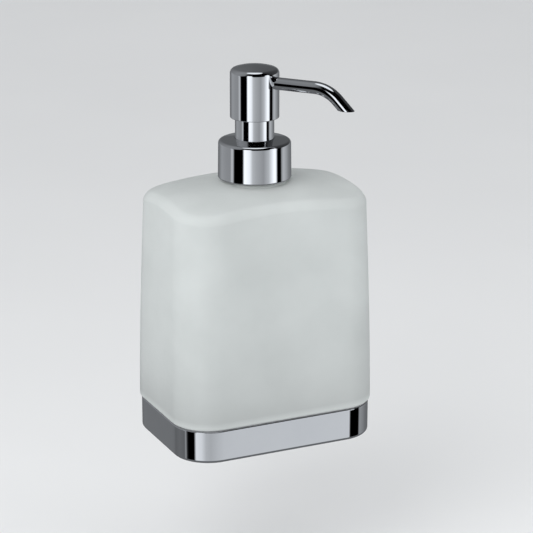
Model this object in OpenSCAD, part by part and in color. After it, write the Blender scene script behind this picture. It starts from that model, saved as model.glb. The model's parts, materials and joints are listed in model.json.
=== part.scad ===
// Wall mounted soap dispenser: a satin glass bottle with a lift pump, standing in a ring-shaped holder.
// Units are millimetres. +Z is up, the wall is the plane Y = 0 and the front faces -Y.
// The origin is the centre of the wall plate's back face.
// Heights named *_z below are measured from the underside of the holder ring.

/* [Bottle] */
// Widest width of the glass, near its base
bottle_w = 92.8; // [92:0.1:94]
// Widest depth of the glass, near its base
bottle_d = 66.6; // [66:0.1:69]
// Width of the glass at the shoulder
shoulder_w = 88.8; // [86:0.1:90]
// Depth of the glass at the shoulder
shoulder_d = 62.2; // [61:0.1:64]
// Corner radius of the glass, seen from above
bottle_corner = 17; // [15:0.5:18]
// Height of the glass at the foot of the neck
dome_z = 113.6; // [112:0.2:114]
// Wall thickness of the glass
glass_wall = 3.2; // [2.6:0.1:3.6]

/* [Holder ring] */
// Outer width of the ring
ring_w = 91; // [88:0.1:91.4]
// Outer depth of the ring
ring_d = 65; // [64.6:0.1:65.4]
// Height of the ring's band
ring_h = 14.2; // [13.6:0.1:15]
// Thickness of the ring's band
ring_wall = 2.6; // [2.4:0.1:2.8]
// Outer corner radius of the ring
ring_corner = 16; // [14.5:0.1:16.4]

/* [Wall mount] */
// Side of the square wall cover
cover_side = 44; // [42:1:50]
// How far the cover stands out from the wall
cover_depth = 10.2; // [9.6:0.1:12]
// Length of the arm between the cover and the ring
arm_length = 13.3; // [12:0.1:20]
// Distance between the two wall screws
screw_spacing = 24; // [22:1:26]
// Shank diameter of the wall screws
screw_d = 4.2; // [3.6:0.1:4.4]

/* [Pump] */
// Diameter of the pump head
head_d = 20.9; // [20.7:0.1:22]
// Height of the pump head
head_h = 22.5; // [22.3:0.1:22.7]
// Height of the pump head's top above the ring's underside
head_top_z = 162.8; // [162.6:0.1:163]
// Stroke of the pump head
stroke = 8; // [5:0.5:8]
// Diameter of the guide sleeve
sleeve_d = 16.7; // [16.5:0.1:16.9]
// Diameter of the screw collar at its foot
collar_d = 31.4; // [31.2:0.1:34]
// Height of the screw collar
collar_h = 17; // [16.8:0.1:17.2]

/* [Spout] */
// Diameter of the spout tube
spout_d = 5.3; // [5:0.1:5.4]
// Distance from the pump's axis to the start of the spout's bend
spout_straight = 27.7; // [24:0.1:30]
// Radius of the spout's bend
spout_bend = 15; // [10:1:16]
// How far the spout bends down
spout_drop = 45; // [40:1:60]
// Height of the spout's level tip below its straight length
spout_tip_drop = 8.4; // [7.6:0.1:10]
// Direction that the spout points in at rest, from +X
spout_turn = -51.5; // [-120:0.5:-30]

/* [Hidden] */
$fn = 64;

// Overshoot of a cutting tool past the face that it cuts
cut = 1;
// Gap between two fixed pieces that fit into each other
seat = 0.05;
// Gap between two faces that rest on each other
rest = 0.02;
// Clearance of a piece that is lifted out
loose = 0.3;

// Wall plate, its cover and the fastenings
cover_wall = 2;
cover_corner = 11;
cover_gap = 0.3;
cover_front = -cover_depth;
cover_inside = cover_front + cover_wall;
plate_side = cover_side - 2 * cover_wall - 0.2;
plate_corner = cover_corner - cover_wall - 0.1;
plate_depth = 8;
plate_web = 3;
screw_r = screw_d / 2;
screw_core_r = screw_r - 0.55;
screw_hole_r = screw_r + 0.2;
screw_head_r = 4;
screw_head_h = 2.6;
screw_pocket_r = 4.6;
screw_length = 25;
screw_tip = 5;
screw_tip_r = 0.3;
recess_l = 4.4;
recess_w = 1.1;
recess_depth = 1.6;
grub_r = 1.95;
grub_hole_r = 2;
grub_y = -4.5;
grub_length = 4.4;
grub_dimple = 2.4;
grub_dimple_r = 2.1;
grub_hex_r = 1.15;

// The bolt that clamps the ring and the arm to the cover
bolt_r = 2.5;
bolt_hole_r = 2.7;
bolt_head_r = 4.6;
bolt_head_h = 2.1;
bolt_sink = 0.15;
bolt_hex_r = 1.7;
bolt_tail = 4;
nut_h = 3.9;
nut_r = 4.62;
nut_pocket_r = 6.5;
arm_w = 22;
arm_h = 12;
arm_corner = 4;

// Ring, its ledge and its plastic liner
ring_back = cover_front - arm_length;
axis_y = ring_back - ring_d / 2;
ring_in_w = ring_w - 2 * ring_wall;
ring_in_d = ring_d - 2 * ring_wall;
ring_in_corner = ring_corner - ring_wall;
ring_inside_y = ring_back - ring_wall;
ledge_t = 2;
ledge_w = 7;
ledge_corner = 6;
liner_wall = 0.7;
liner_floor = 1;
liner_lip = 0.5;
lip_inset = 0.8;
foot_base_z = ledge_t + liner_floor + rest;
liner_top_z = ring_h + liner_lip;

// Foot, shoulder and inside of the bottle
foot_w = ring_in_w - 2 * (seat + liner_wall + loose);
foot_d = ring_in_d - 2 * (seat + liner_wall + loose);
foot_corner = ring_in_corner - seat - liner_wall - loose;
step_z = liner_top_z + 0.1;
rim_round = 1.2;
widest_z = step_z + 2.2;
shoulder_z = 101;
straightness = 0.36;
foot_round = 1;
glass_floor = 5;
floor_corner = 6;
foot_wall = 4;
foot_inside_corner = 8.5;
inside_z = 24;
side_step = 11;
dome_drop = 4.6;
shoulder_round = 4;
corner_steps = 8;

// Screw neck of the bottle
neck_r = 13.6;
neck_bore_r = 10.3;
neck_z = 124;

// Pump engine
gasket_t = 1.16;
gasket_bore_r = 10.4;
flange_z = neck_z + gasket_t + 2 * rest;
flange_t = 1.8;
flange_r = 13;
engine_z = flange_z + flange_t;
barrel_r = 8;
chamber_r = 6.8;
chamber_z = 92;
spring_seat_z = 88;
spring_gap = 0.4;
valve_wall = 1.5;
wall_step = 1;
ball_lip_z = 86.6;
ball_seat_z = 81;
ball_r = 2.4;
ball_seat_r = 1.6;
ball_pocket_r = 2.9;
ball_lip_r = 2.15;
tail_r = 3.6;
tail_z = 68;
socket_r = 2.5;
socket_z = 79;
dip_tube_wall = 0.7;
dip_tube_z = 10.5;
dip_tube_slant = 30;
running = 0.05;
stem_r = 3.2;
stem_bore_r = 2;
stem_z = 110;
stem_top_z = 150.95;
port_r = 0.8;
port_z = 113.5;
cap_plug_z = 119.9;
cap_top_z = 133.5;
foot_flange_r = 5;
foot_flange_z = 106;
foot_spigot_z = 112;
piston_z = 110.02;
piston_top_z = 119.8;
piston_guide_z = 116;
piston_recess_r = 4.2;
piston_lip = 2.5;
piston_waist = 0.8;
spring_wire_r = 0.45;
spring_r = 4.2;
spring_turns = 6;
spring_steps = 16;
spring_sides = 8;

// Pump head
head_r = head_d / 2;
head_bottom_z = head_top_z - head_h;
head_wall = 0.8;
head_roof = 1.2;
head_slope = 17;
head_round = 2.4;
head_steps = 8;
head_gap = 0.9;
head_flat_r = head_r - head_round * (1 - sin(head_slope));
head_crown = head_flat_r * tan(head_slope) / 2;
spout_z = head_top_z - 7.1;
spout_r = spout_d / 2;
spout_bore_r = spout_r - 0.65;
spout_start = 3.4;
spout_sides = 24;
liner_r = spout_bore_r - seat;
liner_bore_r = liner_r - 0.55;
liner_setback = 0.6;
head_inside_z = head_top_z - head_crown - head_roof;
core_top_z = head_inside_z - seat;
core_disc_z = head_top_z - 10.4;
core_boss_z = cap_top_z + stroke + 0.5;
core_boss_r = 6.2;

// Guide sleeve and collar
sleeve_r = sleeve_d / 2;
sleeve_bore_r = sleeve_r - 0.85;
sleeve_top_z = core_disc_z - stroke - 0.4;
sleeve_foot_r = 10.2;
sleeve_foot_t = 0.9;
collar_top_z = head_bottom_z - stroke - head_gap;
collar_z = collar_top_z - collar_h;
collar_roof = 2;
collar_rise = 1;
collar_taper = 0.2;
collar_round = 1.5;
collar_hole_r = sleeve_r + 0.1;
collar_bore_r = 14.35;
collar_bevel = 0.7;
insert_r = collar_bore_r - seat;
insert_z = collar_z + 0.6;

// A rectangle with round corners
module round_rect(w, d, r) {
    square([w - 2 * r, d], center = true);
    square([w, d - 2 * r], center = true);
    for (x = [-1, 1], y = [-1, 1])
        translate([x * (w / 2 - r), y * (d / 2 - r)])
            circle(r = r);
}

// A round-cornered block with its axis along Z
module round_block(w, d, r, bottom, top) {
    translate([0, 0, bottom])
        linear_extrude(height = top - bottom)
            round_rect(w, d, r);
}

// A round-cornered block that stands on the wall, from y = back to y = front
module wall_block(w, h, r, back, front) {
    translate([0, back, 0])
        rotate([90, 0, 0])
            linear_extrude(height = back - front)
                round_rect(w, h, r);
}

// A cylinder along Z
module rod(r, bottom, top) {
    translate([0, 0, bottom])
        cylinder(r = r, h = top - bottom);
}

// A tube along Z
module tube(outer, inner, bottom, top) {
    difference() {
        rod(outer, bottom, top);
        rod(inner, bottom - cut, top + cut);
    }
}

// Points of a profile that rounds the outer top edge of a turned piece
function rounded_edge(r, top, round) = [
    for (a = [0:15:90])
        [r - round * (1 - cos(a)), top - round * (1 - sin(a))]
];

// A cylinder or cone that runs from y = back forwards to y = front
module wall_rod(r, back, front, tip_r = -1) {
    translate([0, back, 0])
        rotate([90, 0, 0])
            cylinder(r1 = r, r2 = tip_r < 0 ? r : tip_r, h = back - front);
}

// Moves a piece onto the pump's axis, with heights counted from the ring's underside
module on_axis() {
    translate([0, axis_y, -ring_h / 2])
        children();
}

// Turns a piece to the spout's direction and lifts it to the spout's height
module on_spout() {
    translate([0, 0, spout_z])
        rotate([0, 0, spout_turn])
            children();
}

// ---- Wall mount ----

module wall_plate() {
    color("silver")
        difference() {
            wall_block(plate_side, plate_side, plate_corner, 0, -plate_depth);
            wall_rod(nut_pocket_r, -plate_web, -plate_depth - cut);
            for (side = [-1, 1])
                translate([0, 0, side * screw_spacing / 2]) {
                    wall_rod(screw_hole_r, cut, -plate_depth - cut);
                    wall_rod(screw_pocket_r, -plate_web, -plate_depth - cut);
                }
            translate([0, grub_y, -plate_side / 2 - cut])
                rod(grub_dimple_r, 0, cut + grub_dimple);
        }
}

module wall_screw() {
    head_y = -plate_web - rest;
    difference() {
        union() {
            wall_rod(screw_core_r, cut, head_y - cut / 2);
            wall_rod(screw_r, screw_length - screw_tip, 0);
            wall_rod(screw_tip_r, screw_length, screw_length - screw_tip, screw_r);
            wall_rod(screw_head_r, head_y, head_y - screw_head_h);
        }
        for (turn = [0, 90])
            translate([0, head_y - screw_head_h, 0])
                rotate([0, turn, 0])
                    cube([recess_l, 2 * recess_depth, recess_w], center = true);
    }
}

module wall_screws() {
    color("silver")
        for (side = [-1, 1])
            translate([0, 0, side * screw_spacing / 2])
                wall_screw();
}

module wall_cover() {
    color("gainsboro")
        difference() {
            wall_block(cover_side, cover_side, cover_corner, -cover_gap, cover_front);
            wall_block(cover_side - 2 * cover_wall, cover_side - 2 * cover_wall,
                       cover_corner - cover_wall, cut, cover_inside);
            wall_rod(bolt_hole_r, cut, cover_front - cut);
            translate([0, grub_y, -cover_side / 2 - cut])
                rod(grub_hole_r, 0, cover_wall + 2 * cut);
        }
}

module cover_grub_screw() {
    color("dimgray")
        translate([0, grub_y, -cover_side / 2])
            difference() {
                rod(grub_r, 0, grub_length);
                translate([0, 0, -cut])
                    cylinder(r = grub_hex_r, h = cut + recess_depth, $fn = 6);
            }
}

module holder_arm() {
    color("gainsboro")
        difference() {
            wall_block(arm_w, arm_h, arm_corner, cover_front, ring_back);
            wall_rod(bolt_hole_r, cover_front + cut, ring_back - cut);
        }
}

module holder_bolt() {
    head_y = ring_inside_y;
    color("silver")
        difference() {
            union() {
                wall_rod(bolt_r, -bolt_tail, head_y + bolt_head_h / 2);
                wall_rod(bolt_r, head_y + bolt_head_h, head_y, bolt_head_r);
            }
            translate([0, head_y + recess_depth, 0])
                rotate([90, 0, 0])
                    cylinder(r = bolt_hex_r, h = recess_depth + cut, $fn = 6);
        }
}

module holder_nut() {
    color("silver")
        translate([0, cover_inside + nut_h, 0])
            rotate([90, 0, 0])
                difference() {
                    cylinder(r = nut_r, h = nut_h, $fn = 6);
                    translate([0, 0, -cut])
                        cylinder(r = bolt_r + seat, h = nut_h + 2 * cut);
                }
}

// ---- Holder ring ----

module holder_ring() {
    color("gainsboro")
        difference() {
            on_axis()
                difference() {
                    round_block(ring_w, ring_d, ring_corner, 0, ring_h);
                    round_block(ring_in_w, ring_in_d, ring_in_corner, ledge_t, ring_h + cut);
                    round_block(ring_in_w - 2 * ledge_w, ring_in_d - 2 * ledge_w, ledge_corner,
                                -cut, ring_h);
                }
            wall_rod(bolt_hole_r, ring_back + cut, ring_inside_y - cut);
            wall_rod(bolt_hole_r, ring_inside_y + bolt_head_h, ring_inside_y, bolt_head_r + bolt_sink);
        }
}

module ring_liner() {
    color("dimgray")
        on_axis()
            difference() {
                union() {
                    round_block(ring_in_w - 2 * seat, ring_in_d - 2 * seat, ring_in_corner - seat,
                                ledge_t, liner_top_z);
                    round_block(ring_w - 2 * lip_inset, ring_d - 2 * lip_inset,
                                ring_corner - lip_inset, ring_h, liner_top_z);
                }
                round_block(foot_w + 2 * loose, foot_d + 2 * loose, foot_corner + loose,
                            ledge_t + liner_floor, liner_top_z + cut);
                round_block(ring_in_w - 2 * ledge_w, ring_in_d - 2 * ledge_w, ledge_corner,
                            -cut, ring_h);
            }
}

// ---- Bottle ----

// Points of a round-cornered rectangle, anticlockwise
function outline(w, d, r) = [
    for (corner = [0:3], i = [0:corner_steps])
        let (
            angle = 90 * (corner + i / corner_steps),
            cx = (corner == 0 || corner == 3 ? 1 : -1) * (w / 2 - r),
            cy = (corner < 2 ? 1 : -1) * (d / 2 - r)
        )
        [cx + r * cos(angle), cy + r * sin(angle)]
];

// A level ring of points
function level(w, d, r, z) = [for (p = outline(w, d, r)) [p.x, p.y, z]];

// The same ring of points moved in by inset, or shrunk by scale, and draped over the dome
function draped(w, d, r, top, inset, drop, shrink = 1) = [
    for (p = outline(w - 2 * inset, d - 2 * inset, r - inset))
        let (
            x = p.x * shrink,
            y = p.y * shrink,
            rise = (1 - pow(2 * x / w, 2)) * dome_drop + (1 - pow(2 * y / d, 2)) * dome_drop
        )
        [x, y, top - 2 * dome_drop + rise - drop]
];

// The shoulder's rounding and the dome above it
function crown(w, d, r, top, fillet) = concat(
    [for (a = [15:15:90]) draped(w, d, r, top, fillet * (1 - cos(a)), fillet * (1 - sin(a)))],
    [for (s = [0.8, 0.6, 0.4, 0.2]) draped(w, d, r, top, fillet, 0, s)]
);

// How far the side bulges at a height, from 0 at the shoulder to 1 where it is widest
function bulge(z) =
    let (t = max(0, (z - widest_z) / (shoulder_z - widest_z)))
    straightness * (1 - t) + (1 - straightness) * cos(90 * t);

// A level ring of the side, inset by the thickness of the glass for the inside
function side(z, inset) = level(
    shoulder_w + (bottle_w - shoulder_w) * bulge(z) - 2 * inset,
    shoulder_d + (bottle_d - shoulder_d) * bulge(z) - 2 * inset,
    bottle_corner - inset,
    z
);

// A level ring of the foot, moved in by inset
function foot(inset, corner, z) = level(foot_w - 2 * inset, foot_d - 2 * inset, corner - inset, z);

// A closed solid through a stack of rings with equal numbers of points
module loft(rings) {
    n = len(rings[0]);
    last = len(rings) - 1;
    skin = [
        for (k = [0:last - 1], i = [0:n - 1])
            let (j = (i + 1) % n)
            each [
                [k * n + i, (k + 1) * n + i, (k + 1) * n + j],
                [k * n + i, (k + 1) * n + j, k * n + j]
            ]
    ];
    floor_face = [for (i = [0:n - 1]) i];
    roof_face = [for (i = [n - 1:-1:0]) last * n + i];
    polyhedron(
        points = [for (ring = rings) each ring],
        faces = concat(skin, [floor_face], [roof_face])
    );
}

module bottle() {
    rounding = [0:30:90];
    outer = concat(
        [
            for (a = rounding)
                foot(foot_round * (1 - sin(a)), foot_corner, foot_base_z + foot_round * (1 - cos(a)))
        ],
        [foot(0, foot_corner, step_z)],
        [
            for (a = rounding)
                side(step_z + rest + rim_round * (1 - cos(a)), rim_round * (1 - sin(a)))
        ],
        [for (z = [inside_z:side_step:shoulder_z]) side(z, 0)],
        crown(shoulder_w, shoulder_d, bottle_corner, dome_z, shoulder_round)
    );
    inner = concat(
        [
            foot(2 * foot_wall, floor_corner + 2 * foot_wall, foot_base_z + glass_floor),
            foot(foot_wall, foot_inside_corner + foot_wall, foot_base_z + glass_floor + foot_wall / 2),
            foot(foot_wall, foot_inside_corner + foot_wall, step_z - foot_wall / 2)
        ],
        [for (z = [inside_z:side_step:shoulder_z]) side(z, glass_wall)],
        crown(shoulder_w - 2 * glass_wall, shoulder_d - 2 * glass_wall, bottle_corner - glass_wall,
              dome_z - glass_wall, shoulder_round)
    );
    color("lightgray")
        on_axis()
            difference() {
                union() {
                    loft(outer);
                    rod(neck_r, dome_z - glass_wall / 2, neck_z);
                }
                loft(inner);
                rod(neck_bore_r, dome_z - 2 * glass_wall, neck_z + cut);
            }
}

// ---- Pump engine ----

module neck_gasket() {
    color("white")
        on_axis()
            tube(flange_r, gasket_bore_r, neck_z + rest, neck_z + rest + gasket_t);
}

module pump_housing() {
    wall_profile = [
        [chamber_r, engine_z], [flange_r, engine_z], [flange_r, flange_z], [barrel_r, flange_z],
        [barrel_r, chamber_z - wall_step], [foot_flange_r + valve_wall, spring_seat_z - wall_step],
        [ball_pocket_r + valve_wall, ball_lip_z - wall_step],
        [ball_pocket_r + valve_wall, ball_seat_z - wall_step],
        [tail_r, socket_z - wall_step], [tail_r, tail_z], [socket_r, tail_z], [socket_r, socket_z],
        [ball_seat_r, socket_z], [ball_seat_r, ball_seat_z],
        [ball_pocket_r, ball_seat_z + ball_pocket_r - ball_seat_r], [ball_pocket_r, ball_lip_z],
        [ball_lip_r, ball_lip_z], [ball_lip_r, spring_seat_z], [foot_flange_r + spring_gap, spring_seat_z],
        [chamber_r, chamber_z]
    ];
    color("whitesmoke")
        on_axis()
            rotate_extrude()
                polygon(wall_profile);
}

module pump_cap() {
    color("whitesmoke")
        on_axis()
            difference() {
                union() {
                    rod(chamber_r - seat, cap_plug_z, engine_z + rest);
                    rod(sleeve_bore_r - seat, engine_z + rest, cap_top_z);
                }
                rod(stem_r + running, cap_plug_z - cut, cap_top_z + cut);
            }
}

module guide_sleeve() {
    color("gainsboro")
        on_axis()
            difference() {
                union() {
                    rod(sleeve_r, engine_z + rest, sleeve_top_z);
                    rod(sleeve_foot_r, engine_z + rest, engine_z + rest + sleeve_foot_t);
                }
                rod(sleeve_bore_r, engine_z - cut, sleeve_top_z + cut);
            }
}

module inlet_ball() {
    // The ball rests on a seat cone of 45 degrees, so its centre is root 2 radii above the cone's tip
    rest_z = ball_seat_z - ball_seat_r + ball_r * sqrt(2) + seat;
    color("silver")
        on_axis()
            translate([0, 0, rest_z])
                sphere(r = ball_r);
}

module dip_tube() {
    color("whitesmoke")
        on_axis()
            difference() {
                tube(socket_r - rest, socket_r - dip_tube_wall, dip_tube_z, socket_z - seat);
                translate([0, 0, dip_tube_z + socket_r])
                    rotate([0, dip_tube_slant, 0])
                        translate([0, 0, -5 * socket_r])
                            cube(10 * socket_r, center = true);
            }
}

module return_spring() {
    bottom = spring_seat_z + spring_wire_r + rest;
    top = foot_flange_z - spring_wire_r - rest;
    rings = [
        for (k = [0:spring_turns * spring_steps])
            let (share = k / (spring_turns * spring_steps), turn = 360 * spring_turns * share)
            [
                for (i = [0:spring_sides - 1])
                    let (
                        a = 360 * i / spring_sides,
                        r = spring_r + spring_wire_r * cos(a),
                        z = bottom + (top - bottom) * share - spring_wire_r * sin(a)
                    )
                    [r * cos(turn), r * sin(turn), z]
            ]
    ];
    color("silver")
        on_axis()
            loft([for (k = [len(rings) - 1:-1:0]) rings[k]]);
}

// ---- Collar ----

module collar_shell() {
    foot_r = collar_d / 2;
    wall_profile = concat(
        [[collar_bore_r, collar_z], [foot_r - collar_bevel, collar_z], [foot_r, collar_z + collar_bevel]],
        rounded_edge(foot_r - collar_taper, collar_top_z - collar_rise, collar_round),
        [
            [collar_hole_r, collar_top_z], [collar_hole_r, collar_top_z - collar_roof],
            [collar_bore_r, collar_top_z - collar_roof]
        ]
    );
    color("gainsboro")
        on_axis()
            rotate_extrude()
                polygon(wall_profile);
}

module collar_thread_insert() {
    roof_z = engine_z + rest;
    color("whitesmoke")
        on_axis()
            difference() {
                rod(insert_r, insert_z, collar_top_z - collar_roof - seat);
                rod(neck_r + running, insert_z - cut, roof_z);
                rod(sleeve_foot_r + 0.2, roof_z - cut, collar_top_z);
            }
}

// ---- Plunger and head ----

module piston() {
    color("white")
        on_axis()
            difference() {
                rod(chamber_r - running, piston_z, piston_top_z);
                rod(stem_r + running, piston_z - cut, piston_top_z + cut);
                rod(piston_recess_r, piston_z - cut, piston_guide_z);
                tube(chamber_r + cut, chamber_r - piston_waist,
                     piston_z + piston_lip, piston_top_z - piston_lip);
            }
}

module stem_foot() {
    color("whitesmoke")
        on_axis() {
            rod(foot_flange_r, foot_flange_z, stem_z - rest);
            rod(stem_bore_r - rest, stem_z - rest, foot_spigot_z);
        }
}

module stem() {
    color("whitesmoke")
        on_axis()
            difference() {
                tube(stem_r, stem_bore_r, stem_z, stem_top_z);
                translate([0, 0, port_z])
                    rotate([0, 90, 0])
                        cylinder(r = port_r, h = 4 * stem_r, center = true, $fn = 24);
            }
}

// A ring of points around the spout's centre line, where the line has turned down by an angle
function spout_ring(r, x, z, angle) = [
    for (i = [0:spout_sides - 1])
        let (a = 360 * i / spout_sides)
        [x + r * sin(a) * sin(angle), r * cos(a), z + r * sin(a) * cos(angle)]
];

// The rings of a bar that follows the spout, from start outwards to well past its tip
function spout_rings(r, start) =
    let (
        bend_drop = spout_bend * (1 - cos(spout_drop)),
        tail = (spout_tip_drop - bend_drop) / sin(spout_drop) + 2 * r
    )
    concat(
        [spout_ring(r, start, 0, 0)],
        [
            for (a = [0:5:spout_drop])
                spout_ring(r, spout_straight + spout_bend * sin(a), spout_bend * (cos(a) - 1), a)
        ],
        [spout_ring(
            r,
            spout_straight + spout_bend * sin(spout_drop) + tail * cos(spout_drop),
            -bend_drop - tail * sin(spout_drop),
            spout_drop
        )]
    );

// The spout's bent tube, from start outwards, cut level above the tip's height by setback
module bent_tube(outer, inner, start, setback) {
    size = 2 * spout_straight;
    on_axis()
        on_spout()
            difference() {
                loft(spout_rings(outer, start));
                loft(spout_rings(inner, start - cut));
                translate([spout_straight, -size / 2, setback - spout_tip_drop - size])
                    cube(size);
            }
}

module spout() {
    color("gainsboro")
        bent_tube(spout_r, spout_bore_r, spout_start, 0);
}

module spout_liner() {
    color("whitesmoke")
        bent_tube(liner_r, liner_bore_r, spout_start + seat, liner_setback);
}

module head_core() {
    color("whitesmoke")
        on_axis()
            difference() {
                union() {
                    rod(head_r - head_wall - seat, core_disc_z, core_top_z);
                    rod(core_boss_r, core_boss_z, core_disc_z + cut);
                }
                rod(stem_r + rest, core_boss_z - cut, stem_top_z + rest);
                rod(stem_bore_r, stem_top_z - cut, spout_z);
                on_spout()
                    rotate([0, 90, 0])
                        cylinder(r = spout_r + rest, h = 2 * head_r);
            }
}

// A point of the head's domed top, at a share of the way out to its rounded edge
function crown_point(share, apex) = [head_flat_r * share, apex - head_crown * pow(share, 2)];

module head_shell() {
    inside_r = head_r - head_wall;
    edge_r = head_r - head_round;
    edge_z = head_top_z - head_crown - head_round * cos(head_slope);
    turn = (90 - head_slope) / head_steps;
    wall_profile = concat(
        [[inside_r, head_bottom_z], [head_r, head_bottom_z]],
        [for (k = [0:head_steps]) [edge_r, edge_z] + head_round * [cos(k * turn), sin(k * turn)]],
        [for (k = [head_steps - 1:-1:0]) crown_point(k / head_steps, head_top_z)],
        [for (k = [0:head_steps]) crown_point(k / head_steps, head_top_z - head_roof)],
        [[inside_r, head_inside_z]]
    );
    color("gainsboro")
        on_axis()
            difference() {
                rotate_extrude()
                    polygon(wall_profile);
                on_spout()
                    rotate([0, 90, 0])
                        cylinder(r = spout_r + rest, h = 2 * head_r);
            }
}

wall_plate();
wall_screws();
wall_cover();
cover_grub_screw();
holder_arm();
holder_bolt();
holder_nut();
holder_ring();
ring_liner();
bottle();
neck_gasket();
pump_housing();
pump_cap();
guide_sleeve();
collar_shell();
collar_thread_insert();
inlet_ball();
dip_tube();
return_spring();
piston();
stem_foot();
stem();
head_core();
head_shell();
spout();
spout_liner();
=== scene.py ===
"""Looks for the wall mounted soap dispenser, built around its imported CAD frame.

Shapes are written in millimetres from the pump's axis and the underside of the holder ring, and add_mesh()
turns them into the frame's metres. Sizes come from the CAD nodes' boxes wherever a box holds them.
"""

import json
import math

import bmesh
import bpy
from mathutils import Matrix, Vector


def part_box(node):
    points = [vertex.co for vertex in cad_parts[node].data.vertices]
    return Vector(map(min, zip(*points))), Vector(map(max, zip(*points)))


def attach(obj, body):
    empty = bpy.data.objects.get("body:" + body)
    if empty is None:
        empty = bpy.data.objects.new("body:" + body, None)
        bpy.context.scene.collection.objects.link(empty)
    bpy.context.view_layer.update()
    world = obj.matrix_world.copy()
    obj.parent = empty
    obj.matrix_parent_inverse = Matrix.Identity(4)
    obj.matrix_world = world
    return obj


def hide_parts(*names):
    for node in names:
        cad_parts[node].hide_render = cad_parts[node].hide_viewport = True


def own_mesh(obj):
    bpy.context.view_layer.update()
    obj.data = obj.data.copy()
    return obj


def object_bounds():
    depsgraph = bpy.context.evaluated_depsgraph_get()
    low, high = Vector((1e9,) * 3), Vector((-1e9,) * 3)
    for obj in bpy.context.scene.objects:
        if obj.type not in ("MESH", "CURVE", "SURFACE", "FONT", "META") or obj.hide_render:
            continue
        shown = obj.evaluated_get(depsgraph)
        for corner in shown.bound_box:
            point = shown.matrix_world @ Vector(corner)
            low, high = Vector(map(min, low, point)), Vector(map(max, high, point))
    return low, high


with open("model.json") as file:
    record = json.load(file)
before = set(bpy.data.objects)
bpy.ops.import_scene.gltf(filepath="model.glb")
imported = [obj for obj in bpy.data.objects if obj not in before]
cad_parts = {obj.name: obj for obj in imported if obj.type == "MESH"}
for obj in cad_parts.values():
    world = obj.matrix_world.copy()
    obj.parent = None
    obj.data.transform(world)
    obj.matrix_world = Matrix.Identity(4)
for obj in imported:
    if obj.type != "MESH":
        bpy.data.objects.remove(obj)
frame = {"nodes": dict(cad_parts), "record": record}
cad_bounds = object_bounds()

MM = 0.001
SMALL = 1e-6
SHARP = math.radians(35)
SEGMENTS = 128

# Gaps between pieces that slide on each other, that are pushed together and that rest on each other
SLIDE, TIGHT, TOUCH = 0.03, 0.05, 0.01

# ------------------------------------------------- places

ring_low, ring_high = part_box("holder_ring")
AXIS = Vector((0, (ring_low.y + ring_high.y) / 2, ring_low.z))


class Place:
    """A CAD node's box, in millimetres from the pump's axis and the ring's underside."""

    def __init__(self, node):
        low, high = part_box(node)
        self.low = (low - AXIS) / MM
        self.high = (high - AXIS) / MM
        self.w, self.d, self.h = self.high - self.low
        self.r = self.w / 2
        self.bottom, self.top = self.low.z, self.high.z


place = {node: Place(node) for node in frame["nodes"]}
WALL_Y = -AXIS.y / MM
MOUNT_Z = -AXIS.z / MM

# ------------------------------------------ mesh building


def add_object(name, data):
    """An object in the scene, for a mesh, a camera or a lamp."""
    obj = bpy.data.objects.new(name, data)
    bpy.context.scene.collection.objects.link(obj)
    return obj


def add_mesh(name, points, faces):
    """A closed mesh from points in millimetres, with its normals outwards and its sharp edges marked."""
    mesh = bpy.data.meshes.new(name)
    mesh.from_pydata([AXIS + MM * Vector(p) for p in points], [], faces)
    obj = add_object(name, mesh)
    finish_mesh(obj)
    return obj


def finish_mesh(obj):
    """Turns faces outwards, shades them smooth and keeps the edges sharper than SHARP."""
    shape = bmesh.new()
    shape.from_mesh(obj.data)
    bmesh.ops.recalc_face_normals(shape, faces=shape.faces)
    for face in shape.faces:
        face.smooth = True
    for edge in shape.edges:
        edge.smooth = not edge.is_manifold or edge.calc_face_angle(0) < SHARP
    shape.to_mesh(obj.data)
    shape.free()


def weigh_normals(obj):
    """Lets large faces set the normals, so that flat faces next to roundings stay flat in reflections."""
    modifier = obj.modifiers.new("weighted_normals", "WEIGHTED_NORMAL")
    modifier.keep_sharp = True


def band(start_a, count_a, start_b, count_b):
    """Faces between two rings of points. A ring of one point is a pole."""
    count = max(count_a, count_b)
    faces = []
    for i in range(count):
        j = (i + 1) % count
        corners = [start_a + i % count_a, start_a + j % count_a, start_b + j % count_b, start_b + i % count_b]
        faces.append(list(dict.fromkeys(corners)))
    return faces


def skin(name, rings, loop=False):
    """A surface through rings of points. With loop, the last ring joins the first."""
    points, starts = [], []
    for ring in rings:
        starts.append(len(points))
        points.extend(ring)
    pairs = [(k, k + 1) for k in range(len(rings) - 1)]
    if loop:
        pairs.append((len(rings) - 1, 0))
    faces = []
    for a, b in pairs:
        faces += band(starts[a], len(rings[a]), starts[b], len(rings[b]))
    return add_mesh(name, points, faces)


def rounded(corners, steps=6, loop=True):
    """A profile from corners of (x, z) or (x, z, radius), each radius turned into an arc."""
    profile = []
    last = len(corners) - 1
    for i, corner in enumerate(corners):
        here = Vector(corner[:2])
        radius = corner[2] if len(corner) > 2 else 0
        if not radius or (not loop and i in (0, last)):
            profile.append(tuple(here))
            continue
        before = (Vector(corners[i - 1][:2]) - here).normalized()
        after = (Vector(corners[(i + 1) % len(corners)][:2]) - here).normalized()
        half = before.angle(after) / 2
        centre = here + (before + after).normalized() * radius / math.sin(half)
        spoke = here + before * radius / math.tan(half) - centre
        end = here + after * radius / math.tan(half) - centre
        turn = math.copysign(math.pi - 2 * half, spoke.x * end.y - spoke.y * end.x)
        for k in range(steps + 1):
            a = turn * k / steps
            x = spoke.x * math.cos(a) - spoke.y * math.sin(a)
            z = spoke.x * math.sin(a) + spoke.y * math.cos(a)
            profile.append((centre.x + x, centre.y + z))
    return profile


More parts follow.
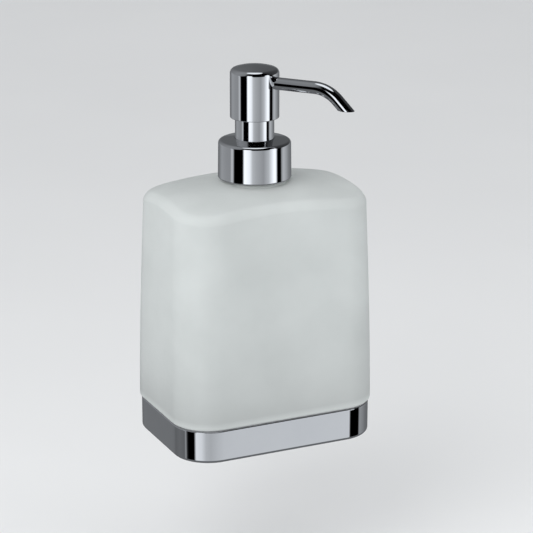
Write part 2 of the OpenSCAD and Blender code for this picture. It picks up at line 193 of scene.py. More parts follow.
def lathe(name, profile, loop=True, segments=SEGMENTS, shape=None):
    """A solid turned around the pump's axis. shape(angle, r, z) may change the radius, as for a thread."""
    rings = []
    for r, z in profile:
        if r < SMALL:
            rings.append([(0, 0, z)])
            continue
        ring = []
        for i in range(segments):
            angle = 2 * math.pi * i / segments
            radius = shape(angle, r, z) if shape else r
            ring.append((radius * math.cos(angle), radius * math.sin(angle), z))
        rings.append(ring)
    return skin(name, rings, loop)


def smooth_step(value, low, high):
    """0 below low, 1 above high, and a smooth rise between."""
    t = min(1, max(0, (value - low) / (high - low)))
    return t * t * (3 - 2 * t)


def thread(root, crest, pitch, low, high, start=0.0):
    """A radius function with a round-topped thread between two heights, which fades out at both ends. start
    turns the thread by a share of a turn, so that a nut's ridges fall between its bolt's."""

    def radius(angle, r, z):
        if abs(r - root) > SMALL or not low < z < high:
            return r
        phase = (z / pitch - angle / (2 * math.pi) + start) % 1
        ridge = smooth_step(0.5 - abs(phase - 0.5), 0.2, 0.38)
        fade = smooth_step(z, low, low + pitch / 3) * (1 - smooth_step(z, high - pitch / 3, high))
        return r + (crest - root) * ridge * fade

    return radius


def ladder(r, low, high, step):
    """Profile points up a straight wall, close enough together for a thread."""
    count = max(1, round(abs(high - low) / step))
    return [(r, low + (high - low) * k / count) for k in range(count + 1)]


CORNER_STEPS = 16
SIDE_STEPS = 12


def outline(w, d, r):
    """Points of a rectangle with round corners, anticlockwise, always the same number of them."""
    corners = [(w / 2 - r, d / 2 - r), (r - w / 2, d / 2 - r), (r - w / 2, r - d / 2), (w / 2 - r, r - d / 2)]
    points = []
    for k, (cx, cy) in enumerate(corners):
        for i in range(CORNER_STEPS + 1):
            a = math.pi / 2 * (k + i / CORNER_STEPS)
            points.append(Vector((cx + r * math.cos(a), cy + r * math.sin(a))))
        nx, ny = corners[(k + 1) % 4]
        a = math.pi / 2 * (k + 1)
        start = points[-1]
        end = Vector((nx + r * math.cos(a), ny + r * math.sin(a)))
        points += [start.lerp(end, i / SIDE_STEPS) for i in range(1, SIDE_STEPS)]
    return points


def plan_ring(w, d, r, z):
    """A level ring of a round-cornered rectangle."""
    return [(p.x, p.y, z) for p in outline(w, d, r)]


def shifted(obj, x=0.0, y=0.0, z=0.0):
    """Moves a mesh by millimetres."""
    for vertex in obj.data.vertices:
        vertex.co += MM * Vector((x, y, z))
    return obj


def from_wall(obj):
    """Lays a piece made along +Z down, so that it points straight out from the middle of the wall plate."""
    for vertex in obj.data.vertices:
        p = (vertex.co - AXIS) / MM
        vertex.co = AXIS + MM * Vector((p.x, WALL_Y - p.z, MOUNT_Z + p.y))
    return obj


def reach(node):
    """How far from the wall a node of the mount starts and ends."""
    return WALL_Y - place[node].high.y, WALL_Y - place[node].low.y


def bar(name, r, low, high, sides=48):
    """A plain bar along Z, as a cutting tool."""
    return lathe(name, [(0, low), (r, low), (r, high), (0, high)], loop=False, segments=sides)


def joined(name, *objs):
    """One object from the meshes of several."""
    shape = bmesh.new()
    for obj in objs:
        shape.from_mesh(obj.data)
        bpy.data.objects.remove(obj)
    mesh = bpy.data.meshes.new(name)
    shape.to_mesh(mesh)
    shape.free()
    obj = add_object(name, mesh)
    finish_mesh(obj)
    return obj


def cut(obj, tool):
    """Takes tool's volume out of obj, and removes tool."""
    modifier = obj.modifiers.new("cut", "BOOLEAN")
    modifier.object = tool
    modifier.operation = "DIFFERENCE"
    modifier.solver = "EXACT"
    bpy.context.view_layer.update()
    depsgraph = bpy.context.evaluated_depsgraph_get()
    mesh = bpy.data.meshes.new_from_object(obj.evaluated_get(depsgraph))
    obj.modifiers.remove(modifier)
    obj.data = mesh
    bpy.data.objects.remove(tool)
    finish_mesh(obj)
    return obj


# ---------------------------------------------- materials


def ramp_through(tree, factor, stops):
    """A colour ramp through stops of (position, colour)."""
    ramp = tree.nodes.new("ShaderNodeValToRGB")
    elements = ramp.color_ramp.elements
    for k, (position, colour) in enumerate(stops):
        element = elements[k] if k < len(elements) else elements.new(position)
        element.position = position
        element.color = colour
    tree.links.new(factor, ramp.inputs["Fac"])
    return ramp


def map_range(tree, value, low, high, to=(0, 1), smooth=False):
    """Maps a value from between low and high into the range to, with a soft start and end if smooth."""
    node = tree.nodes.new("ShaderNodeMapRange")
    node.interpolation_type = "SMOOTHSTEP" if smooth else "LINEAR"
    for socket, number in zip(("From Min", "From Max", "To Min", "To Max"), (low, high, *to)):
        node.inputs[socket].default_value = number
    tree.links.new(value, node.inputs["Value"])
    return node.outputs["Result"]


def node_material(name, shader_values, tones, tone_scale, rough, rough_scale, bump, bump_scale):
    """A Principled material whose colour, roughness and bump come from noise in the object's own space."""
    material = bpy.data.materials.new(name)
    material.use_nodes = True
    tree = material.node_tree
    shader = tree.nodes["Principled BSDF"]
    for socket, value in shader_values.items():
        shader.inputs[socket].default_value = value
    coordinates = tree.nodes.new("ShaderNodeTexCoord")
    low, high, relief_depth = 0.3, 0.7, 0.1 * MM

    def noise(scale, detail):
        texture = tree.nodes.new("ShaderNodeTexNoise")
        texture.inputs["Scale"].default_value = scale
        texture.inputs["Detail"].default_value = detail
        tree.links.new(coordinates.outputs["Object"], texture.inputs["Vector"])
        return texture.outputs["Fac"]

    ramp = ramp_through(tree, noise(tone_scale, 3), [(low, (*tones[0], 1)), (high, (*tones[1], 1))])
    tree.links.new(ramp.outputs["Color"], shader.inputs["Base Color"])
    spread = map_range(tree, noise(rough_scale, 4), low, high, to=rough)
    tree.links.new(spread, shader.inputs["Roughness"])
    relief = tree.nodes.new("ShaderNodeBump")
    relief.inputs["Strength"].default_value = bump
    relief.inputs["Distance"].default_value = relief_depth
    tree.links.new(noise(bump_scale, 2), relief.inputs["Height"])
    tree.links.new(relief.outputs["Normal"], shader.inputs["Normal"])
    return material


# Each material's shader values, two tones and their noise scale, roughness range and its scale, and bump
# strength and its scale.
LOOKS = {
    "chrome": (
        {"Metallic": 1.0},
        [(0.86, 0.865, 0.88), (0.89, 0.895, 0.905)], 60, (0.025, 0.05), 220, 0.01, 900),
    "satin_glass": (
        {"IOR": 1.5, "Transmission Weight": 0.35},
        [(0.73, 0.765, 0.755), (0.83, 0.865, 0.855)], 30, (0.42, 0.5), 400, 0.12, 5000),
    "liner_plastic": (
        {"IOR": 1.46},
        [(0.40, 0.41, 0.42), (0.44, 0.45, 0.46)], 300, (0.4, 0.55), 900, 0.2, 4000),
    "pump_plastic": (
        {"IOR": 1.49, "Subsurface Weight": 0.1, "Subsurface Scale": MM},
        [(0.74, 0.74, 0.71), (0.79, 0.79, 0.76)], 150, (0.32, 0.42), 700, 0.1, 3000),
    "piston_plastic": (
        {"IOR": 1.5, "Subsurface Weight": 0.15, "Subsurface Scale": MM},
        [(0.66, 0.70, 0.74), (0.71, 0.75, 0.79)], 150, (0.3, 0.4), 700, 0.1, 3000),
    "tube_plastic": (
        {"IOR": 1.5, "Transmission Weight": 0.4},
        [(0.80, 0.82, 0.82), (0.85, 0.87, 0.87)], 100, (0.22, 0.3), 500, 0.006, 800),
    "seal_rubber": (
        {"IOR": 1.5},
        [(0.55, 0.55, 0.53), (0.62, 0.62, 0.60)], 500, (0.65, 0.8), 1500, 0.4, 4000),
    "plated_steel": (
        {"Metallic": 1.0},
        [(0.56, 0.57, 0.55), (0.66, 0.66, 0.62)], 250, (0.22, 0.36), 800, 0.15, 2500),
    "spring_steel": (
        {"Metallic": 1.0},
        [(0.60, 0.61, 0.62), (0.68, 0.69, 0.70)], 400, (0.14, 0.24), 1500, 0.1, 4000),
    "zinc_casting": (
        {"Metallic": 1.0},
        [(0.42, 0.43, 0.44), (0.52, 0.53, 0.54)], 180, (0.38, 0.52), 600, 0.35, 1800),
}
MATERIALS = {name: node_material(name, *look) for name, look in LOOKS.items()}


def tone_by_height(material, stops):
    """Paints shade into a material's colour by height, from stops of (millimetres above the ring's underside,
    share).
    """
    tree = material.node_tree
    shader = tree.nodes["Principled BSDF"]
    plain = shader.inputs["Base Color"].links[0].from_socket
    coordinates = tree.nodes.new("ShaderNodeTexCoord")
    split = tree.nodes.new("ShaderNodeSeparateXYZ")
    tree.links.new(coordinates.outputs["Object"], split.inputs["Vector"])
    low, high = stops[0][0], stops[-1][0]
    height = map_range(tree, split.outputs["Z"], AXIS.z + low * MM, AXIS.z + high * MM)
    ramp = ramp_through(tree, height, [((z - low) / (high - low), (*[share] * 3, 1)) for z, share in stops])
    mix = tree.nodes.new("ShaderNodeMix")
    mix.data_type = "RGBA"
    mix.blend_type = "MULTIPLY"
    mix.inputs["Factor"].default_value = 1
    tree.links.new(plain, mix.inputs["A"])
    tree.links.new(ramp.outputs["Color"], mix.inputs["B"])
    tree.links.new(mix.outputs["Result"], shader.inputs["Base Color"])


# Painted shade: the glass's colour is darkened towards its foot, where the ring keeps light out, with a
# lighter rim just above it where no shade is painted.
tone_by_height(
    MATERIALS["satin_glass"],
    [(15, 1.0), (16.2, 1.0), (18.5, 0.82), (24, 0.86), (40, 0.94), (70, 1.0), (104, 1.0)])

slot_of = {s["node"]: s["material_slot"] for s in frame["record"]["subparts"]}
body_of = {n: body for body, nodes in frame["record"]["behaviour"]["bodies"].items() for n in nodes}

for cad_name, cad_object in frame["nodes"].items():
    cad_object.data.materials.clear()
    cad_object.data.materials.append(MATERIALS[slot_of[cad_name]])


def stands_for(obj, node):
    """obj takes a CAD node's place, body, slot and material."""
    obj.data.materials.clear()
    obj.data.materials.append(MATERIALS[slot_of[node]])
    weigh_normals(obj)
    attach(obj, body_of[node])
    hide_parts(node)
    return obj


def stand_in(*makers):
    """Makes each piece with the function that has its CAD node's name."""
    for make in makers:
        stands_for(make(), make.__name__)


# ------------------------------------------------- bottle

GLASS = place["bottle"]
GLASS_WALL = 3.2
GLASS_FLOOR = 5
INSIDE_Z = 24
FOOT_W, FOOT_D, FOOT_R = 83.7, 57.7, 12.35
FOOT_WALL = 4
STEP_Z = place["ring_liner"].top + 0.12
RIM_ROUND = 1.2
SHOULDER_W, SHOULDER_D, SHOULDER_Z = 88.8, 62.2, 101
GLASS_R = 17
WIDEST_Z = STEP_Z + 2.1
STRAIGHTNESS = 0.36
DOME_Z, DOME_DROP, SHOULDER_ROUND = 113.6, 4.6, 4
SIDE_RINGS, HOLLOW_RINGS, ROUND_RINGS, DOME_RINGS = 36, 24, 9, 12
NECK_ROOT_R, NECK_CREST_R, NECK_BORE_R = 12.5, 13.5, 10.3
THREAD_PITCH = 4.23


def bulge(z):
    """How far the glass bulges at a height: 0 at the shoulder, 1 where it is widest."""
    t = max(0, (z - WIDEST_Z) / (SHOULDER_Z - WIDEST_Z))
    return STRAIGHTNESS * (1 - t) + (1 - STRAIGHTNESS) * math.cos(math.pi / 2 * t)


def side_ring(z, inset):
    """A level ring of the glass, moved in by inset."""
    w = SHOULDER_W + (GLASS.w - SHOULDER_W) * bulge(z) - 2 * inset
    d = SHOULDER_D + (GLASS.d - SHOULDER_D) * bulge(z) - 2 * inset
    return plan_ring(w, d, GLASS_R - inset, z)


def dome_height(x, y, thickness):
    """Height of the dome, or of its underside one wall thickness down."""
    w, d = SHOULDER_W - 2 * thickness, SHOULDER_D - 2 * thickness
    return DOME_Z - thickness - DOME_DROP * ((2 * x / w) ** 2 + (2 * y / d) ** 2)


def crown(thickness):
    """Rings over the shoulder's rounding and in over the dome to the neck."""
    w, d, r = SHOULDER_W - 2 * thickness, SHOULDER_D - 2 * thickness, GLASS_R - thickness
    rings = []
    for k in range(1, ROUND_RINGS + 1):
        a = math.pi / 2 * k / ROUND_RINGS
        inset = SHOULDER_ROUND * (1 - math.cos(a))
        drop = SHOULDER_ROUND * (1 - math.sin(a))
        ring = outline(w - 2 * inset, d - 2 * inset, r - inset)
        rings.append([(p.x, p.y, dome_height(p.x, p.y, thickness) - drop) for p in ring])
    edge = outline(w - 2 * SHOULDER_ROUND, d - 2 * SHOULDER_ROUND, r - SHOULDER_ROUND)
    neck = NECK_BORE_R if thickness else NECK_ROOT_R
    for k in range(1, DOME_RINGS + 1):
        ring = []
        for p in edge:
            q = p.lerp(p.normalized() * (neck + 1.5), k / DOME_RINGS)
            ring.append((q.x, q.y, dome_height(q.x, q.y, thickness)))
        rings.append(ring)
    return rings


def neck_ring(r, z, shape=None):
    """A round ring whose points lie in the same directions as those of the dome's edge."""
    ring = []
    for p in outline(SHOULDER_W, SHOULDER_D, GLASS_R):
        radius = shape(math.atan2(p.y, p.x), r, z) if shape else r
        ring.append((*(p.normalized() * radius), z))
    return ring


def bottle():
    """Foot, barrelled body, domed shoulder and threaded neck as one thick glass shell."""
    bottom = GLASS.bottom
    outside = [[(0, 0, bottom + 1.2)]]
    for x, r, z in ((44, 5, 1.2), (16, 6, 1.0), (11, 7, 0.3), (8, 8, 0.05), (5, 9, 0), (2, 10.3, 0)):
        outside.append(plan_ring(FOOT_W - x, FOOT_D - x, r, bottom + z))
    outside += [plan_ring(FOOT_W - 2 * x, FOOT_D - 2 * x, FOOT_R - x, bottom + z)
                for x, z in ((0.5, 0.13), (0.13, 0.5), (0, 1))]
    outside.append(plan_ring(FOOT_W, FOOT_D, FOOT_R, STEP_Z - 0.4))
    outside.append(plan_ring(FOOT_W + 0.4, FOOT_D + 0.4, FOOT_R + 0.2, STEP_Z))
    for degrees in range(0, 90, 15):
        a = math.radians(degrees)
        outside.append(side_ring(STEP_Z + RIM_ROUND * (1 - math.cos(a)), RIM_ROUND * (1 - math.sin(a))))
    side_z = STEP_Z + RIM_ROUND
    side_step = (SHOULDER_Z - side_z) / SIDE_RINGS
    outside += [side_ring(side_z + side_step * k, 0) for k in range(SIDE_RINGS + 1)]
    outside += crown(0)
    lip = GLASS.top
    spiral = thread(NECK_ROOT_R, NECK_CREST_R, THREAD_PITCH, DOME_Z + 2, lip - 1.6)
    outside.append(neck_ring(NECK_ROOT_R + 0.5, DOME_Z + 0.3))
    neck = ladder(NECK_ROOT_R, DOME_Z + 0.9, lip - 0.6, 0.25)
    outside += [neck_ring(r, z, spiral) for r, z in neck]
    lip_profile = [(NECK_ROOT_R - 0.2, lip - 0.15), (NECK_ROOT_R - 0.6, lip),
                   (NECK_BORE_R + 0.6, lip), (NECK_BORE_R + 0.2, lip - 0.15), (NECK_BORE_R, lip - 0.6)]
    outside += [neck_ring(r, z) for r, z in lip_profile]
    inside = crown(GLASS_WALL)
    inside.append(neck_ring(NECK_BORE_R + 0.4, DOME_Z - GLASS_WALL + 0.4))
    inside.append(neck_ring(NECK_BORE_R, DOME_Z - GLASS_WALL + 1.2))
    floor_z = bottom + GLASS_FLOOR
    low_wall = [plan_ring(FOOT_W - 40, FOOT_D - 40, 5, floor_z),
                plan_ring(FOOT_W - 14, FOOT_D - 14, 7, floor_z),
                plan_ring(FOOT_W - 10, FOOT_D - 10, 8, floor_z + 1),
                plan_ring(FOOT_W - 8.5, FOOT_D - 8.5, 8.5, floor_z + 3),
                plan_ring(FOOT_W - 2 * FOOT_WALL, FOOT_D - 2 * FOOT_WALL, 8.7, STEP_Z - 2)]
    hollow_step = (SHOULDER_Z - INSIDE_Z) / HOLLOW_RINGS
    side_wall = [side_ring(INSIDE_Z + hollow_step * k, GLASS_WALL) for k in range(HOLLOW_RINGS + 1)]
    hollow = [[(0, 0, floor_z)]] + low_wall + side_wall + inside
    return skin("bottle_glass", outside + hollow[::-1])


# The metal mirrors only the studio, so its tones run down to the collar's foot with no glass among them.
glass_piece = stands_for(bottle(), "bottle")
glass_piece.visible_glossy = False

# -------------------------------------------- holder ring

RING = place["holder_ring"]
RING_R = 16
RING_WALL = 2.6
LEDGE_X = RING_WALL + 7
LEDGE_T, LEDGE_R = 2, 6
BOLT_HOLE_R = 2.7


def ring_loop(name, profile):
    """A band that follows the ring's outline, from a profile of (inset, z)."""
    rings = [plan_ring(RING.w - 2 * x, RING.d - 2 * x, max(RING_R - x, LEDGE_R), z) for x, z in profile]
    return skin(name, rings, loop=True)


def holder_ring():
    """The bright band with its inner ledge, and the hole for the holder bolt in its back."""
    ring = ring_loop("holder_ring_band", rounded([
        (0, 0, 1.5), (0, RING.h, 0.35), (RING_WALL, RING.h, 0.4), (RING_WALL, LEDGE_T, 0.5),
        (LEDGE_X, LEDGE_T, 0.4), (LEDGE_X, 0, 0.4)]))
    sink_r = place["holder_bolt"].r + 0.15
    head = reach("holder_bolt")[1]
    tool = lathe("bolt_hole_tool", [
        (0, head - 6), (BOLT_HOLE_R, head - 6), (BOLT_HOLE_R, head - 2.2), (sink_r, head),
        (sink_r, head + 1), (0, head + 1)], loop=False, segments=48)
    return cut(ring, from_wall(tool))


def ring_liner():
    """The plastic liner: a tray wall with a thin lip over the ring's top edge."""
    liner = place["ring_liner"]
    lip, foot_z = (RING.w - liner.w) / 2, liner.bottom + TOUCH
    rim_z, floor_z = RING.h + TOUCH, LEDGE_T + 1
    back = RING_WALL + TIGHT
    front = back + 0.7
    return ring_loop("ring_liner_tray", rounded([
        (lip, rim_z, 0.15), (lip, liner.top, 0.15), (front, liner.top, 0.15), (front, floor_z, 0.3),
        (LEDGE_X, floor_z, 0.3), (LEDGE_X, foot_z), (back, foot_z, 0.4), (back, rim_z)], steps=4))


stand_in(holder_ring, ring_liner)

# --------------------------------------------------- pump

SLEEVE_R = 8.35
COLLAR_BORE_R = 14.35
HEAD_WALL = 0.8
HEAD_SLOPE = math.radians(17)
HEAD_ROUND = 2.4
HEAD_ROOF = 1.2


def collar_shell():
    """The collar's metal case, with a round top edge and a top that rises a little to the sleeve."""
    c = place["collar_shell"]
    hole_r, roof = SLEEVE_R + 0.1, 2
    return lathe("collar_case", rounded([
        (COLLAR_BORE_R, c.bottom, 0.3), (c.r, c.bottom, 0.5), (c.r - 0.2, c.top - 1, 1.5),
        (hole_r, c.top, 0.15), (hole_r, c.top - roof), (COLLAR_BORE_R, c.top - roof, 0.3)], steps=8))


def guide_sleeve():
    """The narrow tube that the head slides over."""
    s = place["guide_sleeve"]
    bore_r = SLEEVE_R - 0.85
    return lathe("guide_sleeve_tube", rounded([
        (bore_r, s.bottom), (s.r, s.bottom, 0.2), (s.r, s.bottom + 0.9, 0.2),
        (SLEEVE_R, s.bottom + 0.9, 0.3), (SLEEVE_R, s.top, 0.3), (bore_r, s.top, 0.3)]))


def head_shell():
    """The head's metal cap with its slightly domed top, and the hole that the spout leaves through."""
    h = place["head_shell"]
    steps, inside_r, edge_r = 16, h.r - HEAD_WALL, h.r - HEAD_ROUND
    shoulder = h.r - HEAD_ROUND * (1 - math.sin(HEAD_SLOPE))
    rise = shoulder * math.tan(HEAD_SLOPE) / 2
    edge_z, roof_z = h.top - rise - HEAD_ROUND * math.cos(HEAD_SLOPE), h.top - rise - HEAD_ROOF

    def dome(k, apex):
        return shoulder * k / steps, apex - rise * (k / steps) ** 2

    def edge(k):
        a = HEAD_SLOPE + (math.pi / 2 - HEAD_SLOPE) * k / steps
        return edge_r + HEAD_ROUND * math.sin(a), edge_z + HEAD_ROUND * math.cos(a)

    wall = rounded([
        (h.r, edge_z), (h.r, h.bottom, 0.3), (inside_r, h.bottom, 0.3), (inside_r, roof_z, 0.3),
        (shoulder, roof_z)], steps=8, loop=False)
    outside = [dome(k, h.top) for k in range(steps)] + [edge(k) for k in range(steps)]
    inside = [dome(k, h.top - HEAD_ROOF) for k in reversed(range(steps))]
    cap = lathe("head_cap", outside + wall + inside, loop=False)
    return cut(cap, spout_bar("spout_hole_tool", SPOUT_R + SLIDE))


SPOUT_R = 2.65
SPOUT_BORE_R = SPOUT_R - 0.65
SPOUT_START = 3.4
SPOUT_STRAIGHT = 27.7
SPOUT_BEND = 15
SPOUT_DROP = math.radians(45)
SPOUT_TURN = math.radians(-51.5)
SPOUT_SIDES = 48
BEND_STEPS = 24
SPOUT_Z = place["head_shell"].top - 7.1
TIP_Z = place["spout"].bottom


def spout_point(out, up, across):
    """A point at a distance out along the spout, up from its axis and across it."""
    c, s = math.cos(SPOUT_TURN), math.sin(SPOUT_TURN)
    return (out * c - across * s, out * s + across * c, SPOUT_Z + up)


def spout_ring(r, out, up, angle):
    """A ring around the spout's centre line where it has turned down by angle."""
    ring = []
    for i in range(SPOUT_SIDES):
        a = 2 * math.pi * i / SPOUT_SIDES
        rise = r * math.sin(a)
        ring.append(spout_point(out + rise * math.sin(angle), up + rise * math.cos(angle), r * math.cos(a)))
    return ring


def bend(a):
    """How far out and up the spout's centre line is where it has turned down by a."""
    return SPOUT_STRAIGHT + SPOUT_BEND * math.sin(a), SPOUT_BEND * (math.cos(a) - 1)


def tip_ring(r, lift):
    """A ring where the tail's wall of radius r meets a level plane, lift above the tip."""
    slide = Vector(spout_point(math.cos(SPOUT_DROP), -math.sin(SPOUT_DROP), 0)) - Vector((0, 0, SPOUT_Z))
    ring = []
    for point in spout_ring(r, *bend(SPOUT_DROP), SPOUT_DROP):
        along = (point[2] - TIP_Z - lift) / math.sin(SPOUT_DROP)
        ring.append(tuple(Vector(point) + slide * along))
    return ring


def spout_wall(r, start, lift):
    """Rings along one wall of the spout, from its root to its tip."""
    angles = [SPOUT_DROP * k / BEND_STEPS for k in range(BEND_STEPS + 1)]
    return [spout_ring(r, start, 0, 0), *(spout_ring(r, *bend(a), a) for a in angles), tip_ring(r, lift)]


def bent_tube(name, outer, inner, start, setback):
    """A tube that follows the spout, with its tip's edges slightly rounded."""
    edge = 0.12
    outside = spout_wall(outer, start, setback + edge) + [tip_ring(outer - edge, setback)]
    inside = spout_wall(inner, start, setback + edge) + [tip_ring(inner + edge, setback)]
    return skin(name, outside + inside[::-1], loop=True)


def spout_bar(name, r, start=SPOUT_START):
    """A straight bar along the spout's root, as a cutting tool."""
    rings = [[spout_point(start, 0, 0)], spout_ring(r, start, 0, 0),
             spout_ring(r, SPOUT_STRAIGHT, 0, 0), [spout_point(SPOUT_STRAIGHT, 0, 0)]]
    return skin(name, rings)


stand_in(collar_shell, guide_sleeve, head_shell)
stands_for(bent_tube("spout_tube", SPOUT_R, SPOUT_BORE_R, SPOUT_START, 0), "spout")
stands_for(bent_tube("spout_inner_tube", SPOUT_BORE_R - TIGHT, SPOUT_BORE_R - 0.6,
                     SPOUT_START + TIGHT, 0.6), "spout_liner")

# -------------------------------------------- pump engine

STEM_R, STEM_BORE_R = 3.2, 2
CHAMBER_R, BARREL_R = 6.8, 8
CHAMBER_Z, SPRING_SEAT_Z, BALL_LIP_Z, BALL_SEAT_Z, SOCKET_Z = 92, 88, 86.6, 81, 79
PORT_Z, PISTON_GUIDE_Z = 113.5, 116


def box_between(name, low, high, low_share=1.0, place_point=None):
    """A block as a cutting tool, narrower at its bottom by low_share. place_point may move its corners."""
    corners = []
    for z, share in ((low[2], low_share), (high[2], 1.0)):
        corners += [(low[0] * share, low[1] * share, z), (high[0] * share, low[1] * share, z),
                    (high[0] * share, high[1] * share, z), (low[0] * share, high[1] * share, z)]
    if place_point:
        corners = [place_point(*c) for c in corners]
    sides = [(k, (k + 1) % 4, 4 + (k + 1) % 4, 4 + k) for k in range(4)]
    return add_mesh(name, corners, [(3, 2, 1, 0), (4, 5, 6, 7)] + sides)


def cross_bar(name, r, length, z):
    """A bar along X through the pump's axis, as a cutting tool."""
    tool = bar(name, r, -length / 2, length / 2, sides=24)
    for vertex in tool.data.vertices:
        q = (vertex.co - AXIS) / MM
        vertex.co = AXIS + MM * Vector((q.z, q.y, q.x + z))
    return tool


def collar_thread_insert():
    """The plastic ring inside the collar, whose thread runs between the ridges of the bottle's."""
    c = place["collar_thread_insert"]
    bore_r, roof_z, open_r = 13.65, place["guide_sleeve"].bottom, 10.4
    crest_r = place["neck_gasket"].r + 0.08
    spiral = thread(bore_r, crest_r, THREAD_PITCH, c.bottom + 0.8, GLASS.top - 1, start=0.5)
    profile = [(open_r, roof_z), (open_r, c.top - 0.2), (open_r + 0.2, c.top), (c.r - 0.3, c.top),
               (c.r, c.top - 0.3), (c.r, c.bottom + 0.2), (c.r - 0.2, c.bottom), (bore_r + 0.2, c.bottom)]
    profile += ladder(bore_r, c.bottom + 0.2, roof_z, 0.25)
    return lathe("collar_screw_ring", profile, shape=spiral)


def neck_gasket():
    """A soft ring with a fine bead above and below, between the bottle's lip and the pump."""
    g = place["neck_gasket"]
    bore_r, low, high = 10.4, g.bottom + 0.1, g.top - 0.1
    return lathe("neck_gasket_ring", rounded([
        (bore_r, low, 0.1), (11.2, low), (11.4, g.bottom), (11.6, g.bottom), (11.8, low), (g.r, low, 0.2),
        (g.r, high, 0.2), (11.8, high), (11.6, g.top), (11.4, g.top), (11.2, high), (bore_r, high, 0.1)],
        steps=3))


def pump_housing():
    """The pump's barrel: flange, cylinder, ball seat and the socket for the dip tube, with two vent holes."""
    h = place["pump_housing"]
    ball = place["inlet_ball"]
    flange_z = h.top - 1.8
    socket_r, tail_r, valve_r = 2.5, 3.6, 4.4
    seat_r, pocket_r, lip_r = 1.6, ball.r + 0.5, ball.r - 0.25
    spring_r = place["stem_foot"].r + 0.4
    outside = [
        (CHAMBER_R, h.top, 0.2), (h.r, h.top, 0.4), (h.r, flange_z, 0.3), (BARREL_R, flange_z, 0.5),
        (BARREL_R, CHAMBER_Z - 1, 1), (spring_r + 1.1, SPRING_SEAT_Z - 1, 0.5),
        (valve_r, BALL_LIP_Z - 1, 0.5), (valve_r, BALL_SEAT_Z - 1, 0.5), (tail_r, SOCKET_Z - 1, 0.5),
        (tail_r, h.bottom, 0.3)]
    inside = [
        (socket_r, h.bottom, 0.3), (socket_r, SOCKET_Z, 0.1), (seat_r, SOCKET_Z, 0.1),
        (seat_r, BALL_SEAT_Z, 0.1), (pocket_r, BALL_SEAT_Z + pocket_r - seat_r, 0.2),
        (pocket_r, BALL_LIP_Z), (lip_r, BALL_LIP_Z, 0.15), (lip_r, SPRING_SEAT_Z, 0.15),
        (spring_r, SPRING_SEAT_Z, 0.3), (CHAMBER_R, CHAMBER_Z, 0.5)]
    barrel = lathe("pump_barrel", rounded(outside + inside, steps=4), segments=96)
    return cut(barrel, cross_bar("vent_tool", 0.7, 20, flange_z - 3.6))


def pump_cap():
    """The plug that closes the barrel and guides the stem."""
    c = place["pump_cap"]
    flange_z = place["guide_sleeve"].bottom
    plug_r, guide_r, wiper_r, wiper_z = CHAMBER_R - TIGHT, STEM_R + TIGHT, STEM_R + 1.2, c.top - 0.8
    return lathe("pump_cap_plug", rounded([
        (guide_r, c.bottom, 0.2), (plug_r, c.bottom, 0.4), (plug_r, flange_z, 0.1), (c.r, flange_z, 0.1),
        (c.r, c.top, 0.5), (wiper_r, c.top, 0.2), (wiper_r, wiper_z, 0.2), (guide_r, wiper_z, 0.2)],
        steps=4), segments=96)


def dip_tube():
    """A clear tube to the floor of the bottle, its foot cut at a slant so that it can't seal itself off."""
    d = place["dip_tube"]
    bore_r, slant = d.r - 0.7, math.radians(30)
    tube = lathe("dip_tube_pipe", rounded([
        (bore_r, d.bottom - 2), (d.r, d.bottom - 2), (d.r, d.top, 0.2), (bore_r, d.top, 0.15)], steps=3),
        segments=64)

    def tilted(x, y, z):
        lift = d.bottom + d.r * math.tan(slant)
        return (x * math.cos(slant) + z * math.sin(slant), y,
                lift - x * math.sin(slant) + z * math.cos(slant))

    size = 4 * d.r
    return cut(tube, box_between("slant_tool", (-size, -size, -size), (size, size, 0), place_point=tilted))


def return_spring():
    """A compression spring whose first and last turns lie flat."""
    s = place["return_spring"]
    wire, turns, steps, sides, flat = 0.45, 7, 32, 12, 0.96
    coil_r = s.r - wire
    low, high = s.bottom + wire, s.top - wire
    rings = []
    for k in range(turns * steps + 1):
        turn = k / steps
        rise = flat * min(turn, 1) + flat * max(0, turn - (turns - 1))
        open_share = min(max(turn - 1, 0), turns - 2) / (turns - 2)
        z = low + rise + (high - low - 2 * flat) * open_share
        angle = 2 * math.pi * turn
        ring = []
        for i in range(sides):
            a = 2 * math.pi * i / sides
            r = coil_r + wire * math.cos(a)
            ring.append((r * math.cos(angle), r * math.sin(angle), z + wire * math.sin(a)))
        rings.append(ring)
    first, last = ([tuple(sum(p[axis] for p in ring) / sides for axis in range(3))]
                   for ring in (rings[0], rings[-1]))
    return skin("return_spring_coil", [first] + rings + [last])


def piston():
    """The sliding seal: a thin lip at each end and a slack waist between them."""
    p = place["piston"]
    waist_r, recess_r, bore_r = p.r - 0.75, 4.2, STEM_R + TIGHT
    outside = [
        (recess_r, p.bottom, 0.2), (p.r - 0.7, p.bottom, 0.2), (p.r, p.bottom + 0.3, 0.15),
        (p.r, p.bottom + 2, 0.3), (waist_r, p.bottom + 3, 0.4), (waist_r, p.top - 3, 0.4),
        (p.r, p.top - 2, 0.3), (p.r, p.top - 0.3, 0.15), (p.r - 0.7, p.top, 0.2)]
    inside = [(bore_r, p.top, 0.2), (bore_r, PISTON_GUIDE_Z, 0.1), (recess_r, PISTON_GUIDE_Z, 0.3)]
    return lathe("piston_seal", rounded(outside + inside, steps=3), segments=96)


def stem_foot():
    """The disc under the piston, pushed into the stem's foot."""
    f = place["stem_foot"]
    shoulder_z = place["stem"].bottom - 0.02
    pin_r = STEM_BORE_R - 0.02
    return lathe("stem_foot_plug", rounded([
        (0, f.bottom), (f.r, f.bottom, 0.3), (f.r, shoulder_z, 0.3), (pin_r, shoulder_z), (pin_r, f.top, 0.3),
        (0, f.top)], steps=4, loop=False), loop=False, segments=64)


